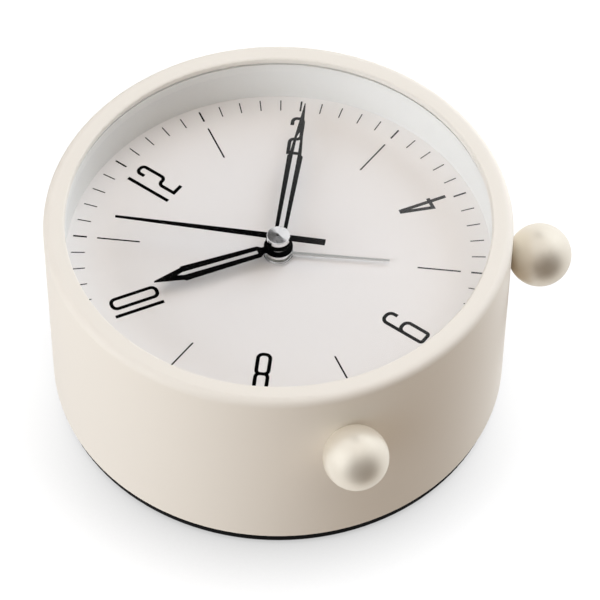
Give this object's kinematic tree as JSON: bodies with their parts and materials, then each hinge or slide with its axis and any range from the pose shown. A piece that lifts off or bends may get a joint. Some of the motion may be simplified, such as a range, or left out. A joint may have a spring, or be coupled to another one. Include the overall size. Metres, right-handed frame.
{
  "type": "analog alarm clock",
  "caption": "Round drum-shaped analog desk alarm clock with ball feet, a deep white dial under a flat lens, slotted hands, setting knobs, alarm switch and battery door.",
  "frame": {"origin": "on the axis of the hands, at the flat rear face of the back cover that the clock lies on", "axes": "+Z along the axis of the hands, out of the dial; +Y towards 12 o'clock; the ball feet are on the -Y side"},
  "size_m": [0.102, 0.104, 0.0507],
  "materials": {
    "cream_case": "satin cream lacquer",
    "cream_gloss": "gloss cream",
    "lens_clear": "clear",
    "ring_white": "satin white",
    "dial_white": "matt white print",
    "black_plastic": "fine satin black",
    "hand_black": "matt black",
    "hand_silver": "satin silver",
    "bright_steel": "turned bright",
    "screw_steel": "zinc plated",
    "contact_steel": "nickel plated",
    "cell_sleeve": "plain wrapped sleeve",
    "shell_plastic": "moulded",
    "gear_plastic": "natural acetal",
    "magnet": "sintered magnet on a moulded pinion",
    "bobbin_plastic": "moulded",
    "copper": "enamelled copper wire",
    "board_green": "solder mask",
    "chip_black": "resin",
    "crystal_can": "metal can"
  },
  "bodies": {
    "housing": {"case": "cream_case", "lens": "lens_clear", "dial_ring": "ring_white", "dial": "dial_white", "left_foot": "cream_gloss", "right_foot": "cream_gloss", "foot_screws": "screw_steel", "back_cover": "black_plastic", "cover_screws": "screw_steel", "battery_holder": "black_plastic", "battery_cell": "cell_sleeve", "contact_spring": "contact_steel", "contact_plate": "contact_steel", "buzzer": "black_plastic", "movement_front_shell": "shell_plastic", "movement_back_shell": "shell_plastic", "shell_screws": "screw_steel", "dial_screws": "screw_steel", "stator": "contact_steel", "coil_core": "contact_steel", "coil_bobbin": "bobbin_plastic", "coil_winding": "copper", "circuit_board": "board_green", "control_chip": "chip_black", "crystal": "crystal_can", "alarm_contact": "contact_steel"},
    "seconds": {"seconds_wheel": "gear_plastic", "second_hand": "hand_black", "second_hand_cap": "bright_steel"},
    "intermediate": {"intermediate_wheel": "gear_plastic"},
    "rotor": {"rotor": "magnet"},
    "third": {"third_wheel": "gear_plastic"},
    "centre": {"centre_wheel": "gear_plastic"},
    "minutes": {"cannon_pinion": "gear_plastic", "clutch_washer": "contact_steel", "minute_hand": "hand_black", "minute_hand_bush": "bright_steel"},
    "minute_gear": {"minute_wheel": "gear_plastic"},
    "hours": {"hour_wheel": "gear_plastic", "hour_hand": "hand_black", "hour_hand_bush": "bright_steel"},
    "time_setter": {"time_arbor": "gear_plastic", "time_knob": "black_plastic"},
    "alarm": {"alarm_wheel": "gear_plastic", "alarm_hand": "hand_silver", "alarm_hand_bush": "bright_steel"},
    "idler": {"alarm_idler": "gear_plastic"},
    "alarm_setter": {"alarm_arbor": "gear_plastic", "alarm_knob": "black_plastic"},
    "switch": {"alarm_switch": "black_plastic"},
    "door": {"battery_door": "black_plastic"}
  },
  "joints": [
    {"name": "second_hand_turn", "type": "hinge", "parent": "housing", "child": "seconds", "pos_m": [0, 0, 0], "axis": [0, 0, -1], "continuous": true},
    {"name": "intermediate_turn", "type": "hinge", "parent": "housing", "child": "intermediate", "pos_m": [0, 0.0077, 0], "axis": [0, 0, -1], "continuous": true},
    {"name": "rotor_turn", "type": "hinge", "parent": "housing", "child": "rotor", "pos_m": [0, 0.0125, 0], "axis": [0, 0, -1], "continuous": true},
    {"name": "third_turn", "type": "hinge", "parent": "housing", "child": "third", "pos_m": [0, -0.0076, 0], "axis": [0, 0, -1], "continuous": true},
    {"name": "centre_turn", "type": "hinge", "parent": "housing", "child": "centre", "pos_m": [0, 0, 0], "axis": [0, 0, -1], "continuous": true},
    {"name": "minute_hand_turn", "type": "hinge", "parent": "housing", "child": "minutes", "pos_m": [0, 0, 0], "axis": [0, 0, -1], "continuous": true},
    {"name": "minute_gear_turn", "type": "hinge", "parent": "housing", "child": "minute_gear", "pos_m": [0.00649, 0.00422, 0], "axis": [0, 0, -1], "continuous": true},
    {"name": "hour_hand_turn", "type": "hinge", "parent": "housing", "child": "hours", "pos_m": [0, 0, 0], "axis": [0, 0, -1], "continuous": true},
    {"name": "time_knob_turn", "type": "hinge", "parent": "housing", "child": "time_setter", "pos_m": [0.01299, 0, 0], "axis": [0, 0, -1], "continuous": true},
    {"name": "alarm_hand_turn", "type": "hinge", "parent": "housing", "child": "alarm", "pos_m": [0, 0, 0], "axis": [0, 0, -1], "continuous": true},
    {"name": "idler_turn", "type": "hinge", "parent": "housing", "child": "idler", "pos_m": [-0.00649, 0.00422, 0], "axis": [0, 0, -1], "continuous": true},
    {"name": "alarm_knob_turn", "type": "hinge", "parent": "housing", "child": "alarm_setter", "pos_m": [-0.01299, 0, 0], "axis": [0, 0, -1], "continuous": true},
    {"name": "alarm_switch_slide", "type": "slide", "parent": "housing", "child": "switch", "axis": [1, 0, 0], "range_m": [0, 0.004]},
    {"name": "battery_door_lift", "type": "slide", "parent": "housing", "child": "door", "axis": [0, 0, -1], "range_m": [0, 0.02]}
  ],
  "couplings": [
    {"joint": "intermediate_turn", "follows": "second_hand_turn", "ratio": -6},
    {"joint": "rotor_turn", "follows": "second_hand_turn", "ratio": 30},
    {"joint": "third_turn", "follows": "second_hand_turn", "ratio": -0.13333},
    {"joint": "centre_turn", "follows": "second_hand_turn", "ratio": 0.016667},
    {"joint": "minute_gear_turn", "follows": "minute_hand_turn", "ratio": -0.33333},
    {"joint": "hour_hand_turn", "follows": "minute_hand_turn", "ratio": 0.083333},
    {"joint": "time_knob_turn", "follows": "minute_hand_turn", "ratio": 1},
    {"joint": "idler_turn", "follows": "alarm_hand_turn", "ratio": -1.5},
    {"joint": "alarm_knob_turn", "follows": "alarm_hand_turn", "ratio": 1}
  ]
}
